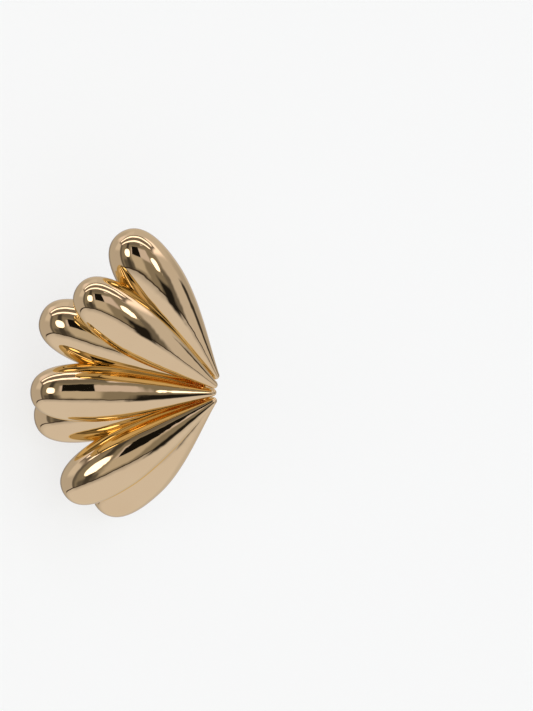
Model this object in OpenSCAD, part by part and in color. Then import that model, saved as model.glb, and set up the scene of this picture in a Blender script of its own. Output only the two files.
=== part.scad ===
// Fan stud earring, in millimetres. Seven polished teardrop lobes fan out from one edge,
// four in a back row and three in a raised front row, with a straight ear post behind.
// It lies face up as it comes to rest by itself: on the end of the post and on the bellies
// of the two lowest lobes of the back row. Z is up, and the origin is on the surface below
// the middle of the piece. The lobes are drawn flat first, in the fan's own frame: tips
// stacked up the Y axis, lobes pointing towards -X, and the face towards +Z.

/* [Lobe] */
// Length of a lobe, from its tip to its far end
lobe_length = 24.4; // [22:0.2:27]
// Diameter of the belly, the widest place, of a back row lobe
belly_d = 8.1; // [7.2:0.1:9]
// Width of a front row lobe, as a share of a back row lobe's
front_width = 0.95; // [0.88:0.01:1.02]
// Length of the rounded nose, from the belly to the far end
nose_length = 7.9; // [6.7:0.2:9.1]
// Diameter of the blunt tip
tip_d = 1; // [0.7:0.1:1.5]
// Angle between the flank and the axis where the flank leaves the tip
flank_angle = 14; // [11:0.5:17]

/* [Fan] */
// Angle between neighbouring lobes
fan_step = 18; // [16:0.5:20]
// Distance between neighbouring tips, along the edge of the fan
tip_pitch = 0.48; // [0.36:0.04:0.6]
// Height of the front row over the back row at the tips
tip_rise = 1.5; // [1:0.1:2]
// Height of the front row over the back row at the bellies
belly_rise = 4.1; // [3.4:0.1:4.8]

/* [Ear post] */
// Diameter of the post
post_d = 0.9; // [0.7:0.05:1.1]
// Length of the post behind its pad
post_length = 10; // [9:0.5:12]
// Chamfer at the end of the post
post_chamfer = 0.18; // [0.1:0.02:0.26]
// Diameter of the pad that is soldered to the back
pad_d = 3; // [2.4:0.1:3.6]
// Thickness of the pad
pad_thickness = 0.6; // [0.4:0.1:1]
// Distance of the post from the tip of the lobe that carries it
post_reach = 15; // [13.5:0.5:16.5]
// Width of the flat seat that shows round the pad
seat_margin = 0.15; // [0.05:0.05:0.4]

/* [Placing] */
// Turn of the whole piece on the surface it lies on
rest_turn = 98; // [-180:1:180]

/* [Hidden] */

// The lobes from the top one down. STEP counts fan steps up from the middle lobe, ROW is 0
// at the back and 1 in front, LENGTH is a share of lobe_length, TURN is in degrees, and
// SET_BACK is the tip's distance inside the edge as a share of tip_d.
STEP = 0;
ROW = 1;
LENGTH = 2;
TURN = 3;
SET_BACK = 4;
LOBES = [
    [ 3, 0, 0.98, -0.5, 0.0],
    [ 2, 1, 0.975, 0.7, 0.0],
    [ 1, 0, 1.02, -0.4, 0.0],
    [ 0, 1, 0.985, -1.5, 0.3],
    [-1, 0, 1.00,  2.3, 0.0],
    [-2, 1, 0.965, -0.8, 0.0],
    [-3, 0, 0.925, 2.1, 0.0],
];
POST_LOBE = 2;
REST_LOBES = [4, 6];

// Handles of the two curves of the outline, as shares of the lengths they run along.
FLANK_START = 0.25;
FLANK_END = 0.34;
NOSE_START = 0.61;
NOSE_END = 0.74;

tip_points = 3;
flank_points = 8;
nose_points = 8;
settle_rounds = 24;
tiny = 1e-9;
$fn = 48;

function unit(v) = v / max(norm(v), tiny);
function bezier(p, t) = pow(1 - t, 3) * p[0] + 3 * pow(1 - t, 2) * t * p[1]
    + 3 * (1 - t) * pow(t, 2) * p[2] + pow(t, 3) * p[3];

// Half outline of a lobe, as [radius, distance from the tip].
function outline(i) =
    let (tip_r = tip_d / 2,
         length = length_of(i),
         belly_r = belly_d / 2 * (row(i) == 1 ? front_width : 1),
         belly_at = length - nose_length,
         lean = [sin(flank_angle), cos(flank_angle)],
         start = [tip_r * lean[1], tip_r - tip_r * lean[0]],
         run = belly_at - start[1],
         flank = [start, start + FLANK_START * run * lean,
                  [belly_r, belly_at - FLANK_END * run], [belly_r, belly_at]],
         nose = [[belly_r, belly_at], [belly_r, belly_at + NOSE_START * nose_length],
                 [NOSE_END * belly_r, length], [0, length]])
    concat(
        [for (i = [0 : tip_points - 1])
            let (a = i * (90 - flank_angle) / tip_points)
            [tip_r * sin(a), tip_r - tip_r * cos(a)]],
        [for (i = [0 : flank_points]) bezier(flank, i / flank_points)],
        [for (i = [1 : nose_points]) bezier(nose, i / nose_points)]);

// Where each lobe starts, how long it is and which way it points, in the fan's frame.
function row(i) = LOBES[i][ROW];
function length_of(i) = lobe_length * LOBES[i][LENGTH];
function tip_of(i) = [-LOBES[i][SET_BACK] * tip_d, LOBES[i][STEP] * tip_pitch, row(i) * tip_rise];
function angle_of(i) = LOBES[i][STEP] * fan_step + LOBES[i][TURN];
function rise_of(i) = row(i) * asin((belly_rise - tip_rise) / (length_of(i) - nose_length));
function axis_of(i) = [-cos(rise_of(i)) * cos(angle_of(i)),
                       cos(rise_of(i)) * sin(angle_of(i)), sin(rise_of(i))];

// The post stands behind a back row lobe, on a flat seat as wide as the pad and its margin.
seat_r = pad_d / 2 + seat_margin;
carrier_r = lookup(post_reach, [for (p = outline(POST_LOBE)) [p[1], p[0]]]);
seat_z = -sqrt(pow(carrier_r, 2) - pow(seat_r, 2));
post_at = tip_of(POST_LOBE) + post_reach * axis_of(POST_LOBE) + [0, 0, seat_z];
post_end = post_at - [0, 0, pad_thickness + post_length];
post_end_r = post_d / 2 - post_chamfer;

// Farthest point of a lobe, and of a disc that faces Z, in the direction d.
function lobe_point(i, d) =
    let (axis = axis_of(i),
         side = d - (axis * d) * axis,
         reach = [for (p = outline(i)) p[1] * (axis * d) + p[0] * norm(side)],
         far = outline(i)[search(max(reach), reach)[0]])
    tip_of(i) + far[1] * axis + far[0] * unit(side);
function disc_point(middle, r, d) = middle + r * unit([d[0], d[1], 0]);

// Up direction of the surface that the piece rests on: the plane through the three lowest
// points, found again for the new plane in each round.
function plane_up(a, b, c) =
    let (n = unit(cross(b - a, c - a))) n[2] < 0 ? -n : n;
function settle(up, rounds) = rounds <= 0 ? up : settle(plane_up(
    lobe_point(REST_LOBES[0], -up), lobe_point(REST_LOBES[1], -up),
    disc_point(post_end, post_end_r, -up)), rounds - 1);

up = settle([0, 0, 1], settle_rounds);
fan_y = unit([0, 1, 0] - up[1] * up);
right = cos(rest_turn) * cross(fan_y, up) - sin(rest_turn) * fan_y;
back = cross(up, right);

// How far the whole piece reaches in the direction d.
function reach(d) = max(
    max([for (i = [0 : len(LOBES) - 1]) lobe_point(i, d) * d]),
    disc_point(post_end, post_end_r, d) * d);
middle_x = (reach(right) - reach(-right)) / 2;
middle_y = (reach(back) - reach(-back)) / 2;

module at_rest() multmatrix([
    [right[0], right[1], right[2], -middle_x],
    [back[0], back[1], back[2], -middle_y],
    [up[0], up[1], up[2], reach(-up)],
]) children();

module lobe(i)
    translate(tip_of(i))
        rotate([0, 90 - rise_of(i), 180 - angle_of(i)])
            rotate_extrude() polygon(outline(i));

// The lobes are one piece of metal, with a flat seat for the post.
module fan() color([0.86, 0.73, 0.56]) at_rest() difference() {
    union() for (i = [0 : len(LOBES) - 1]) lobe(i);
    translate(post_at - [0, 0, belly_d / 2]) cylinder(r = seat_r, h = belly_d / 2);
}

// Post and pad are one turned piece, with a chamfer on the end that goes through the ear.
module ear_post() color([0.82, 0.69, 0.5]) at_rest() translate(post_at) rotate([180, 0, 0]) {
    cylinder(d = pad_d, h = pad_thickness);
    cylinder(d = post_d, h = pad_thickness + post_length - post_chamfer);
    translate([0, 0, pad_thickness + post_length - post_chamfer])
        cylinder(r1 = post_d / 2, r2 = post_end_r, h = post_chamfer);
}

fan();
ear_post();
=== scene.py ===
import math

import bpy
from mathutils import Matrix, Vector


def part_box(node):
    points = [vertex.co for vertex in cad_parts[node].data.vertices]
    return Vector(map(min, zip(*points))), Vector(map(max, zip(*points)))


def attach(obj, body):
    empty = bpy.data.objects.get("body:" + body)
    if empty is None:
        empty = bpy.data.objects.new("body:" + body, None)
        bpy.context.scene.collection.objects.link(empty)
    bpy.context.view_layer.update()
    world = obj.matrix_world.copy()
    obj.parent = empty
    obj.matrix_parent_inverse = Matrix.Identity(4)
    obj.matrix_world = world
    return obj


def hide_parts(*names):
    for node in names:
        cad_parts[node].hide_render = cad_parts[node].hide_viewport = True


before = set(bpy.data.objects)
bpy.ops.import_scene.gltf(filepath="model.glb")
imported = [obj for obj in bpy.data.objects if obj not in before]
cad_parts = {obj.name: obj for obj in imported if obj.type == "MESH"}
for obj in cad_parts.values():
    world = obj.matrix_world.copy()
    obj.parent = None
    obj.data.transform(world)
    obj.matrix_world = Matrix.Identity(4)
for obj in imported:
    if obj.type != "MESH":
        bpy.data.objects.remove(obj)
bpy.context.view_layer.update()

# Sizes of the lobes, in metres
MM = 0.001
LOBE_LENGTH = 24.4 * MM
BELLY_D = 8.1 * MM
FRONT_WIDTH = 0.95
NOSE_LENGTH = 7.9 * MM
TIP_D = 1.0 * MM
FLANK_ANGLE = math.radians(14)
FLANK_START = 0.25
FLANK_END = 0.34
NOSE_START = 0.61
NOSE_END = 0.74

# How the lobes stand in the fan
FAN_STEP = 18
TIP_PITCH = 0.48 * MM
TIP_RISE = 1.5 * MM
BELLY_RISE = 4.1 * MM
# Fan steps up from the middle lobe, row, share of LOBE_LENGTH, turn in degrees, and the
# tip's distance inside the edge as a share of TIP_D, from the top lobe down
LOBES = [
    (3, 0, 0.98, -0.5, 0.0),
    (2, 1, 0.975, 0.7, 0.0),
    (1, 0, 1.02, -0.4, 0.0),
    (0, 1, 0.985, -1.5, 0.3),
    (-1, 0, 1.00, 2.3, 0.0),
    (-2, 1, 0.965, -0.8, 0.0),
    (-3, 0, 0.925, 2.1, 0.0),
]
# The solder between the tips: its radius, length, distance inside the edge, and height as a
# share of TIP_RISE
SEAM_R = 0.95 * MM
SEAM_LENGTH = 4.0 * MM
SEAM_INSIDE = 1.4 * MM
SEAM_HEIGHT = 0.35
# The lobe that carries the post, the lobes that the fan rests on, and its turn where it lies
POST_LOBE = 2
REST_LOBES = (4, 6)
REST_TURN = math.radians(98)

# The ear post
POST_D = 0.9 * MM
POST_LENGTH = 10 * MM
POST_CHAMFER = 0.18 * MM
PAD_D = 3 * MM
PAD_THICKNESS = 0.6 * MM
PAD_EDGE = 0.14 * MM
POST_FILLET = 0.3 * MM
BEND = 0.45
POST_REACH = 15 * MM
SEAT_MARGIN = 0.15 * MM

# Fineness of the turned meshes and of the settling
LOBE_SIDES = 112
LOBE_SEGMENTS = 28
POST_SIDES = 64
POST_SEGMENTS = 6
SEAM_SEGMENTS = 12
MERGE_DISTANCE = 0.002 * MM
ON_SURFACE = 0.05 * MM
SMOOTH_ANGLE = math.radians(30)
SETTLE_ROUNDS = 24
TINY = 1e-9

# The finish of the metal: the scale and detail of its patches, waves, grain and hairlines,
# what each adds to the roughness, and its relief. EDGE_TINT is its tint where it is seen
# along its surface. A finish is a base colour, a deeper colour in patches and a roughness
PATCHES = (180.0, 2.0)
WAVES = (620.0, 1.0)
GRAIN = (9000.0, 3.0)
HAIRS = (1.0, 2.0)
HAIR_STRETCH = (900.0, 26000.0, 14000.0)
HAIR_EDGE = (0.66, 0.05)
PATCH_EDGE = (0.55, 0.25)
PATCH_SHARE = 0.5
ROUGH_PATCHES = 0.02
ROUGH_HAIRS = 0.05
ROUGH_GRAIN = 0.01
FINE_RELIEF = 0.002
RELIEF_DEPTH = 0.026 * MM
EDGE_TINT = (1.0, 0.96, 0.76, 1)
FAN_FINISH = ((0.9, 0.675, 0.31), (0.87, 0.635, 0.285), 0.02)
POST_FINISH = ((0.87, 0.655, 0.31), (0.83, 0.6, 0.275), 0.08)

# The view: its angle above the face, its roll, its distance, and the place of the fan's
# frame in the picture, in pixels
VIEW_ABOVE = math.radians(25)
VIEW_ROLL = math.radians(5.68)
VIEW_DISTANCE = 0.6
VIEW_CLIP = (0.06, 12)
PICTURE = (533, 711)
FAN_AT = (216.7, 388.5)
PIXEL = 0.131 * MM
SENSOR = 36

# Light, with 1 as the white of the picture
FLOOR_BASE = (0.25, 0.26, 0.22, 1)
FLOOR_GLOW = (0.71, 0.71, 0.71, 1)
FLOOR_ROUGHNESS = 0.9
BACKDROP_WHITE = (0.94, 0.94, 0.94, 1)
FLOOR_SIZE = 6
KEY_STRENGTH = 1.3
KEY_SOFTNESS = math.radians(120)
BOUNCES = 16
MIRROR_BOUNCES = 12

X_AXIS, Y_AXIS, Z_AXIS = Vector((1, 0, 0)), Vector((0, 1, 0)), Vector((0, 0, 1))


def deselect():
    """Leaves nothing selected, because an operator acts on all that is."""
    if bpy.context.object and bpy.context.object.mode == "EDIT":
        bpy.ops.object.mode_set(mode="OBJECT")
    bpy.ops.object.select_all(action="DESELECT")


def pick(obj):
    """Makes obj the only selected object."""
    deselect()
    obj.select_set(True)
    bpy.context.view_layer.objects.active = obj


def turned(name, knots, segments, sides):
    """A closed body turned round the X axis from a Bezier outline of (point, before, after)."""
    deselect()
    bpy.ops.curve.primitive_bezier_curve_add()
    curve = bpy.context.object
    curve.name = name
    curve.data.dimensions = "2D"
    curve.data.resolution_u = segments
    spline = curve.data.splines[0]
    spline.bezier_points.add(len(knots) - len(spline.bezier_points))
    for point, (at, before, after) in zip(spline.bezier_points, knots):
        point.handle_left_type = point.handle_right_type = "FREE"
        point.co = (*at, 0)
        point.handle_left = (*before, 0)
        point.handle_right = (*after, 0)
    bpy.ops.object.convert(target="MESH")
    body = bpy.context.object
    bpy.ops.object.mode_set(mode="EDIT")
    bpy.ops.mesh.select_all(action="SELECT")
    bpy.ops.mesh.spin(steps=sides, angle=math.tau, center=(0, 0, 0), axis=(1, 0, 0))
    bpy.ops.mesh.select_all(action="SELECT")
    bpy.ops.mesh.remove_doubles(threshold=MERGE_DISTANCE)
    bpy.ops.mesh.normals_make_consistent(inside=False)
    bpy.ops.object.mode_set(mode="OBJECT")
    return body


def place(obj, matrix):
    """Moves obj's mesh by the matrix and leaves the object at the origin."""
    pick(obj)
    obj.matrix_world = matrix
    bpy.ops.object.transform_apply(location=True, rotation=True, scale=True)
    return obj


def x_towards(way):
    """The matrix that turns the X axis to a direction."""
    return way.to_track_quat("X", "Z").to_matrix().to_4x4()


def combine(body, tools, operation):
    """Adds the tools to the body, or cuts them from it, and removes them."""
    for tool in tools:
        pick(body)
        cut = body.modifiers.new("combine", "BOOLEAN")
        cut.operation = operation
        cut.solver = "MANIFOLD"
        cut.object = tool
        bpy.ops.object.modifier_apply(modifier=cut.name)
        bpy.data.objects.remove(tool)
    return body


def knot(at, before=None, after=None):
    """A knot of an outline with its handles, sharp on the sides that have none."""
    return Vector(at), Vector(before or at), Vector(after or at)


def lobe_knots(length, belly):
    """The outline of a lobe, from its tip to its far end, as (along, out) knots."""
    tip, belly_at = TIP_D / 2, length - NOSE_LENGTH
    lean = Vector((math.cos(FLANK_ANGLE), math.sin(FLANK_ANGLE)))
    start = Vector((tip - tip * lean.y, tip * lean.x))
    arc = 4 / 3 * math.tan((math.pi / 2 - FLANK_ANGLE) / 4) * tip
    run = belly_at - start.x
    flank_end, nose_start = belly_at - FLANK_END * run, belly_at + NOSE_START * NOSE_LENGTH
    return [
        knot((0, 0), after=(0, arc)),
        knot(start, start - arc * lean, start + FLANK_START * run * lean),
        knot((belly_at, belly), (flank_end, belly), (nose_start, belly)),
        knot((length, 0), before=(length, NOSE_END * belly)),
    ]


def outline(knots):
    """Close points of a lobe's outline, as (along, out, normal along, normal out)."""
    points = []
    for (a, _, b), (d, c, _) in zip(knots, knots[1:]):
        for i in range(LOBE_SEGMENTS * 2):
            t = i / (LOBE_SEGMENTS * 2)
            at = (1 - t) ** 3 * a + 3 * (1 - t) ** 2 * t * b + 3 * (1 - t) * t**2 * c + t**3 * d
            way = (1 - t) ** 2 * (b - a) + 2 * (1 - t) * t * (c - b) + t**2 * (d - c)
            way.normalize()
            points.append((at.x, at.y, -way.y, way.x))
    points.append((knots[-1][0].x, 0, 1, 0))
    return points


class Lobe:
    """Where a lobe of the table starts, which way it points and what its outline is."""

    def __init__(self, step, row, share, turn, set_back):
        self.length = LOBE_LENGTH * share
        self.tip = Vector((-set_back * TIP_D, step * TIP_PITCH, row * TIP_RISE))
        angle = math.radians(step * FAN_STEP + turn)
        rise = row * math.asin((BELLY_RISE - TIP_RISE) / (self.length - NOSE_LENGTH))
        self.axis = Vector((
            -math.cos(rise) * math.cos(angle), math.cos(rise) * math.sin(angle), math.sin(rise)
        ))
        self.knots = lobe_knots(self.length, BELLY_D / 2 * (FRONT_WIDTH if row else 1))
        self.outline = outline(self.knots)

    def matrix(self):
        """Puts a lobe that is turned round the X axis in its place in the fan."""
        return Matrix.Translation(self.tip) @ x_towards(self.axis)

    def farthest(self, way):
        """The lobe's farthest point in a direction."""
        along = self.axis.dot(way)
        side = way - along * self.axis
        out = side.length
        at = max(self.outline, key=lambda p: p[0] * along + p[1] * out)
        return self.tip + at[0] * self.axis + at[1] * side.normalized()

    def surface(self, point):
        """How far a point lies off the lobe's surface, and the surface's normal there."""
        off = point - self.tip
        along = off.dot(self.axis)
        side = off - along * self.axis
        out = side.length
        low, high = 0, len(self.outline) - 1
        while high - low > 1:
            middle = (low + high) // 2
            if self.outline[middle][0] > along:
                high = middle
            else:
                low = middle
        a, b = self.outline[low], self.outline[high]
        share = min(max((along - a[0]) / max(b[0] - a[0], TINY), 0), 1)
        out_there = a[1] + share * (b[1] - a[1])
        normal = (a[2] + share * (b[2] - a[2])) * self.axis
        if out > TINY:
            normal += (a[3] + share * (b[3] - a[3])) * side / out
        return abs(out - out_there), normal.normalized()


class Seam:
    """The solder that joins the tips: a bar with round ends along the edge of the fan."""

    def __init__(self):
        self.middle = Vector((-SEAM_INSIDE, 0, TIP_RISE * SEAM_HEIGHT))
        self.straight = SEAM_LENGTH / 2 - SEAM_R

    def knots(self):
        """Its outline, as (along, out) knots."""
        half, straight = SEAM_LENGTH / 2, self.straight
        arc = 4 / 3 * math.tan(math.pi / 8) * SEAM_R
        return [
            knot((-half, 0), after=(-half, arc)),
            knot((-straight, SEAM_R), before=(-straight - arc, SEAM_R)),
            knot((straight, SEAM_R), after=(straight + arc, SEAM_R)),
            knot((half, 0), before=(half, arc)),
        ]

    def matrix(self):
        """Puts a bar that is turned round the X axis in its place in the fan."""
        return Matrix.Translation(self.middle) @ x_towards(Y_AXIS)

    def surface(self, point):
        """How far a point lies off the bar's surface, and the surface's normal there."""
        off = point - self.middle
        off.y -= min(max(off.y, -self.straight), self.straight)
        return abs(off.length - SEAM_R), off.normalized()


fan_lobes = [Lobe(*row) for row in LOBES]
seam = Seam()


def post_place():
    """The middle of the pad's seat behind the lobe that carries the post."""
    carrier = fan_lobes[POST_LOBE]
    seat = PAD_D / 2 + SEAT_MARGIN
    near = min(carrier.outline, key=lambda p: abs(p[0] - POST_REACH))
    depth = math.sqrt(near[1] ** 2 - seat**2)
    return carrier.tip + POST_REACH * carrier.axis - Vector((0, 0, depth))


def lie_down():
    """The fan's frame turned as it lies on the surface, on two lobes and the post's end."""
    post_end = post_place() - Vector((0, 0, PAD_THICKNESS + POST_LENGTH))
    up = Z_AXIS
    for _ in range(SETTLE_ROUNDS):
        a, b = [fan_lobes[i].farthest(-up) for i in REST_LOBES]
        flat = Vector((-up.x, -up.y, 0))
        c = post_end + (POST_D / 2 - POST_CHAMFER) * flat.normalized()
        up = (b - a).cross(c - a).normalized()
        if up.z < 0:
            up = -up
    fan_y = (Y_AXIS - up.y * up).normalized()
    right = math.cos(REST_TURN) * fan_y.cross(up) - math.sin(REST_TURN) * fan_y
    back = up.cross(right)
    turn = Matrix((right, back, up))
    highest = [max((turn @ lobe.farthest(turn.transposed() @ way)).dot(way) for lobe in fan_lobes)
               for way in (X_AXIS, Y_AXIS, Z_AXIS)]
    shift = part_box("fan")[1] - Vector(highest)
    return Matrix.Translation(shift) @ turn.to_4x4()


at_rest = lie_down()


def smooth_lobes(fan):
    """Gives each face the true normals of the body it lies on, and leaves cut faces flat."""
    mesh = fan.data
    back = at_rest.inverted()
    turn = at_rest.to_3x3()
    turn_back = turn.transposed()
    places = [back @ v.co for v in mesh.vertices]
    normals = []
    for face in mesh.polygons:
        middle = back @ face.center
        facing = turn_back @ face.normal
        best, carrier = ON_SURFACE, None
        for body in (*fan_lobes, seam):
            off, normal = body.surface(middle)
            miss = off + (1 - normal.dot(facing)) * MM
            if miss < best:
                best, carrier = miss, body
        for v in face.vertices:
            if carrier:
                normals.append(turn @ carrier.surface(places[v])[1])
            else:
                normals.append(face.normal.copy())
    mesh.polygons.foreach_set("use_smooth", [True] * len(mesh.polygons))
    mesh.normals_split_custom_set(normals)


def make_fan():
    """The seven lobes as one piece of metal, with a flat seat for the post's pad."""
    bodies = []
    for lobe in fan_lobes:
        body = turned("lobe", lobe.knots, LOBE_SEGMENTS, LOBE_SIDES)
        bodies.append(place(body, at_rest @ lobe.matrix()))
    solder = turned("solder", seam.knots(), SEAM_SEGMENTS, POST_SIDES)
    bodies.append(place(solder, at_rest @ seam.matrix()))
    fan = combine(bodies[0], bodies[1:], "UNION")
    deselect()
    bpy.ops.mesh.primitive_cylinder_add(
        vertices=POST_SIDES, radius=PAD_D / 2 + SEAT_MARGIN, depth=BELLY_D / 2,
        location=(0, 0, -BELLY_D / 4),
    )
    cutter = place_after(bpy.context.object, at_rest @ Matrix.Translation(post_place()))
    combine(fan, [cutter], "DIFFERENCE")
    fan.name = fan.data.name = "fan_lobes"
    smooth_lobes(fan)
    return fan


def place_after(obj, matrix):
    """Applies where obj was added, then places it by the matrix."""
    pick(obj)
    bpy.ops.object.transform_apply(location=True, rotation=True, scale=True)
    return place(obj, matrix)


def make_post():
    """The pad and the post as one turned piece, with soft edges and a fillet between them."""
    pad, post, top = PAD_D / 2, POST_D / 2, PAD_THICKNESS
    end = top + POST_LENGTH
    edge, fillet = PAD_EDGE, POST_FILLET
    knots = [
        knot((0, 0)),
        knot((0, pad)),
        knot((top - edge, pad), after=(top - BEND * edge, pad)),
        knot((top, pad - edge), before=(top, pad - BEND * edge)),
        knot((top, post + fillet), after=(top, post + BEND * fillet)),
        knot((top + fillet, post), before=(top + BEND * fillet, post)),
        knot((end - POST_CHAMFER, post)),
        knot((end, post - POST_CHAMFER)),
        knot((end, 0)),
    ]
    piece = turned("ear_post_turned", knots, POST_SEGMENTS, POST_SIDES)
    place(piece, at_rest @ Matrix.Translation(post_place()) @ x_towards(-Z_AXIS))
    pick(piece)
    bpy.ops.object.shade_smooth_by_angle(angle=SMOOTH_ANGLE)
    return piece


class Shade:
    """A shader socket. Arithmetic on it adds Math nodes to its tree."""

    def __init__(self, tree, socket=None):
        self.tree = tree
        self.socket = socket

    def add(self, kind, settings=None, sockets=None, out=0):
        """Adds a node, sets it up, fills its sockets and gives one of its outputs."""
        node = self.tree.nodes.new("ShaderNode" + kind)
        for name, value in (settings or {}).items():
            setattr(node, name, value)
        for name, value in (sockets or {}).items():
            if isinstance(value, Shade):
                self.tree.links.new(value.socket, node.inputs[name])
            else:
                node.inputs[name].default_value = value
        return Shade(self.tree, node.outputs[out])

    def math(self, operation, *values):
        """A Math node on this value and the ones that follow it."""
        return self.add("Math", {"operation": operation}, dict(enumerate(values)))

    def __add__(self, other):
        return self.math("ADD", self, other)

    __radd__ = __add__

    def __sub__(self, other):
        return self.math("SUBTRACT", self, other)

    def __rsub__(self, other):
        return self.math("SUBTRACT", other, self)

    def __mul__(self, other):
        return self.math("MULTIPLY", self, other)

    __rmul__ = __mul__

    def __truediv__(self, other):
        return self.math("DIVIDE", self, other)

    def __abs__(self):
        return self.math("ABSOLUTE", self)

    def above(self, edge, soft):
        """1 above the edge and 0 below it, over a soft border."""
        return self.add("MapRange", {"interpolation_type": "SMOOTHSTEP"},
                        {"Value": self, "From Min": edge - soft, "From Max": edge + soft})

    def between(self, low, high, soft):
        """1 between two edges and 0 outside them."""
        return self.above(low, soft) * (1 - self.above(high, soft))

    def mixed(self, other, share):
        """This colour with a share of another over it."""
        return self.add("Mix", {"data_type": "RGBA"}, {0: share, 6: self, 7: other}, out=2)


def gold(name, base, deep, roughness):
    """Mirror-polished plating: faint waves from the wheel, hairlines and patches of colour."""
    material = bpy.data.materials.new(name)
    material.use_nodes = True
    tree = material.node_tree
    shader = tree.nodes["Principled BSDF"]
    shader.inputs["Metallic"].default_value = 1
    shader.inputs["Specular Tint"].default_value = EDGE_TINT
    start = Shade(tree)
    spot = start.add("TexCoord", out="Object")

    def noise(vector, scale, detail):
        return start.add("TexNoise", sockets={"Vector": vector, "Scale": scale, "Detail": detail})

    patches, waves, grain = noise(spot, *PATCHES), noise(spot, *WAVES), noise(spot, *GRAIN)
    stretch = start.add("Mapping", sockets={"Vector": spot, "Scale": HAIR_STRETCH})
    hairline = noise(stretch, *HAIRS).above(*HAIR_EDGE)
    colour = start.add("RGB")
    colour.socket.default_value = (*base, 1)
    tint = colour.mixed((*deep, 1), patches.above(*PATCH_EDGE) * PATCH_SHARE)
    tree.links.new(tint.socket, shader.inputs["Base Color"])
    rough = roughness + patches * ROUGH_PATCHES + hairline * ROUGH_HAIRS + grain * ROUGH_GRAIN
    tree.links.new(rough.socket, shader.inputs["Roughness"])
    relief = waves + grain * FINE_RELIEF - hairline * FINE_RELIEF
    bump = start.add("Bump", sockets={"Height": relief, "Strength": 1.0, "Distance": RELIEF_DEPTH})
    tree.links.new(bump.socket, shader.inputs["Normal"])
    return material


def dress(piece, material, node):
    """Gives a piece its material, hides the part it stands for and attaches it to the root body.
    """
    piece.data.materials.clear()
    piece.data.materials.append(material)
    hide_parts(node)
    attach(piece, "root")


fan = make_fan()
dress(fan, gold("pale_gold", *FAN_FINISH), "fan")
post = make_post()
dress(post, gold("post_gold", *POST_FINISH), "ear_post")


def make_floor():
    """A plain pale floor with a glow of its own, so that its shadow stays faint. The metal
    mirrors the studio's table in its place."""
    deselect()
    bpy.ops.mesh.primitive_plane_add(size=FLOOR_SIZE)
    floor = bpy.context.object
    floor.name = "floor"
    material = bpy.data.materials.new("floor_white")
    material.use_nodes = True
    tree = material.node_tree
    shader = tree.nodes["Principled BSDF"]
    shader.inputs["Base Color"].default_value = FLOOR_BASE
    shader.inputs["Roughness"].default_value = FLOOR_ROUGHNESS
    shader.inputs["Specular IOR Level"].default_value = 0
    shader.inputs["Emission Color"].default_value = FLOOR_GLOW
    shader.inputs["Emission Strength"].default_value = 1
    floor.data.materials.append(material)
    floor.visible_glossy = False


# The studio round the earring, as the photographed view sees it: azimuth to the right of the
# camera and elevation above it, in degrees. A card has its left, right, lower and upper edge,
# the softness of its edges, and its light as a level and a tint.
COOL = (1.0, 1.0, 1.42)
WARM = (1.0, 0.95, 0.82)
PLAIN = (1.0, 0.98, 0.94)
ROSE = (1.0, 0.94, 0.94)
CARDS = [
    # the sides and the top of the tent
    (-190, -62, -40, 90, 5, 0.5, PLAIN),
    (68, 190, -40, 90, 5, 0.58, PLAIN),
    (-190, -158, -40, 90, 12, 0.58, PLAIN),
    (-190, -62, 58, 90, 8, 0.64, PLAIN),
    (-97, -68, 12, 42, 6, 0.67, PLAIN),
    (114, 146, -20, 24, 8, 0.43, PLAIN),
    (-58, 60, 38, 64, 4, 0.17, WARM),
    # the pale wall between the lamps, and the panel below it
    (-16, 41, 4, 29, 3, 0.63, ROSE),
    (-17, 19, -23, 5, 4, 0.52, WARM),
    # the shade beside the right lamp
    (57, 71, -30, 8, 4, 0.15, WARM),
    # the dark gaps above and below the left lamp
    (-52, -16, -30, -12, 5, 0.11, WARM),
    (-37, -25, -30, 60, 3, 0.06, WARM),
    # the edge of the tent's opening on the left, and of its far side on the right
    (-66, -57, -30, 45, 3, 0.13, WARM),
    (103, 116, -14, 14, 3, 0.04, WARM),
    # the table's shade right below the earring
    (-172, -142, -17, 17, 10, 0.3, PLAIN),
    # the softboxes behind the tent
    (30, 62, 41, 54, 3, 0.9, ROSE),
    (62, 104, 28, 58, 5, 1.3, ROSE),
    (-125, -82, 40, 62, 7, 0.86, ROSE),
    # the camera
    (-12, 15, 5, 33, 0.8, 0.008, WARM),
]
ROOM_LIGHT = (0.25, 0.235, 0.19, 1)
# A lamp has the azimuth and elevation of its middle, half its width and half its height.
LAMPS = [(-32, 8, 10.5, 13), (50.5, 8, 6.5, 7.5)]
LAMP_SQUARENESS = 2.6
LAMP_EDGE = 0.3
LAMP_LIGHT = (2.4, 2.3, 2.1, 1)
# The dark stand of the right lamp, as a card.
STAND = (38, 60, -37, -10, 4, 0.015, WARM)
# A strip lies across the ceiling, from one angle over the camera to another, with its reach
# to each side.
STRIPS = [
    (50, 92, 1.5, 0.8, (0.2, 0.18, 0.16, 1)),
    (55, 62, 0.7, 0.74, (1.9, 1.8, 1.75, 1)),
    (78, 86, 0.7, 0.74, (1.9, 1.8, 1.75, 1)),
]
STRIP_END = 0.03
# The table: its level below the earring, how much darker it is near its far edge and
# straight ahead, and the elevation and azimuths where that begins, with their softness.
TABLE_LEVEL = 0.69
TABLE_FAR, TABLE_AHEAD = 0.1, 0.14
TABLE_FAR_FROM = (-37, 7)
TABLE_AHEAD_FROM = (-62, 100, 8)
TABLE_EDGE = (-29, 1)
# The dark line where the table ends: its elevations, its azimuths and its light.
HORIZON_HEIGHT = (-30.5, -27, 0.7)
HORIZON_REACH = (-118, 112, 12)
HORIZON_LIGHT = (0.05, 0.04, 0.03, 1)


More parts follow.
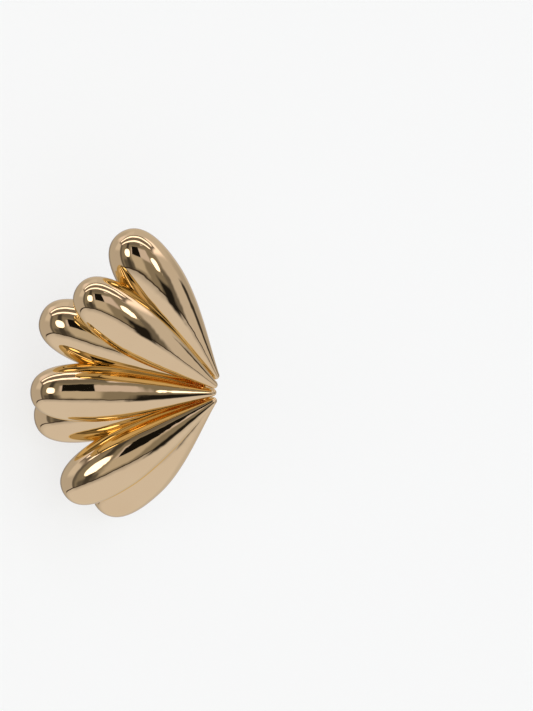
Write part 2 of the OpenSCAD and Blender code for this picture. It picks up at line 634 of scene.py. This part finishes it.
def make_studio():
    """The studio's light as the world, fixed in the directions of the photographed view."""
    world = bpy.data.worlds.new("studio")
    bpy.context.scene.world = world
    world.use_nodes = True
    tree = world.node_tree
    start = Shade(tree)
    way = start.add("TexCoord", out="Generated")

    def part(direction):
        return start.add(
            "VectorMath", {"operation": "DOT_PRODUCT"}, {0: way, 1: direction}, out="Value"
        )

    x, y, z = [part(direction) for direction in view_axes]
    degrees = math.degrees(1)
    azimuth = start.math("ARCTAN2", x, z) * degrees
    elevation = start.math("ARCSINE", y) * degrees
    over = start.math("ARCTAN2", y, z) * degrees
    light = start.add("RGB")
    light.socket.default_value = ROOM_LIGHT

    def with_card(light, card):
        left, right, low, high, soft, level, tint = card
        mask = azimuth.between(left, right, soft) * elevation.between(low, high, soft)
        return light.mixed((*[level * t for t in tint], 1), mask)

    for card in CARDS:
        light = with_card(light, card)
    for middle, height, wide, tall in LAMPS:
        across = start.math("POWER", abs(azimuth - middle) / wide, LAMP_SQUARENESS)
        up = start.math("POWER", abs(elevation - height) / tall, LAMP_SQUARENESS)
        light = light.mixed(LAMP_LIGHT, 1 - (across + up).above(1, LAMP_EDGE))
    for low, high, soft, reach, colour in STRIPS:
        ends = 1 - abs(x).above(reach, STRIP_END)
        light = light.mixed(colour, over.between(low, high, soft) * ends)
    ahead = azimuth.between(*TABLE_AHEAD_FROM) * TABLE_AHEAD
    table = TABLE_LEVEL - elevation.above(*TABLE_FAR_FROM) * (ahead + TABLE_FAR)
    shade = start.add("RGB")
    shade.socket.default_value = (0, 0, 0, 1)
    light = light.mixed(shade.mixed((1, 1, 1, 1), table), 1 - elevation.above(*TABLE_EDGE))
    horizon = elevation.between(*HORIZON_HEIGHT) * azimuth.between(*HORIZON_REACH)
    light = light.mixed(HORIZON_LIGHT, horizon)
    light = with_card(light, STAND)
    light = start.add("Mix", {"data_type": "RGBA", "blend_type": "MULTIPLY"},
                      {0: 1.0, 6: light, 7: (*COOL, 1)}, out=2)
    seen = start.add("LightPath", out="Is Camera Ray")
    light = light.mixed(BACKDROP_WHITE, seen)
    tree.links.new(light.socket, tree.nodes["Background"].inputs["Color"])


def make_key():
    """A broad soft light from above that lights the floor and isn't seen in the metal."""
    data = bpy.data.lights.new("key", "SUN")
    data.energy = KEY_STRENGTH
    data.angle = KEY_SOFTNESS
    key = bpy.data.objects.new("key", data)
    bpy.context.scene.collection.objects.link(key)
    key.visible_glossy = False


def make_camera():
    """A long lens that sees the earring from above its face, at the left of the picture."""
    right, up, back = view_axes
    across = (PICTURE[0] / 2 - FAN_AT[0]) * PIXEL
    above = (FAN_AT[1] - PICTURE[1] / 2) * PIXEL
    aim = at_rest.translation + across * right + above * up
    data = bpy.data.cameras.new("camera")
    data.sensor_width = SENSOR
    data.lens = SENSOR * VIEW_DISTANCE / (PICTURE[1] * PIXEL)
    data.clip_start, data.clip_end = VIEW_CLIP
    camera = bpy.data.objects.new("camera", data)
    bpy.context.scene.collection.objects.link(camera)
    turn = Matrix((right, up, back)).transposed().to_4x4()
    camera.matrix_world = Matrix.Translation(aim + VIEW_DISTANCE * back) @ turn
    bpy.context.scene.camera = camera


def find_view():
    """The camera's right, up and back directions."""
    back = Vector((0, math.sin(VIEW_ABOVE), math.cos(VIEW_ABOVE)))
    above = back.cross(X_AXIS)
    right = math.cos(VIEW_ROLL) * X_AXIS + math.sin(VIEW_ROLL) * above
    turn = at_rest.to_3x3()
    return turn @ right, turn @ back.cross(right), turn @ back


view_axes = find_view()
make_camera()
make_floor()
make_studio()
make_key()

scene = bpy.context.scene
scene.view_settings.view_transform = "Standard"
scene.cycles.max_bounces = BOUNCES
scene.cycles.glossy_bounces = MIRROR_BOUNCES
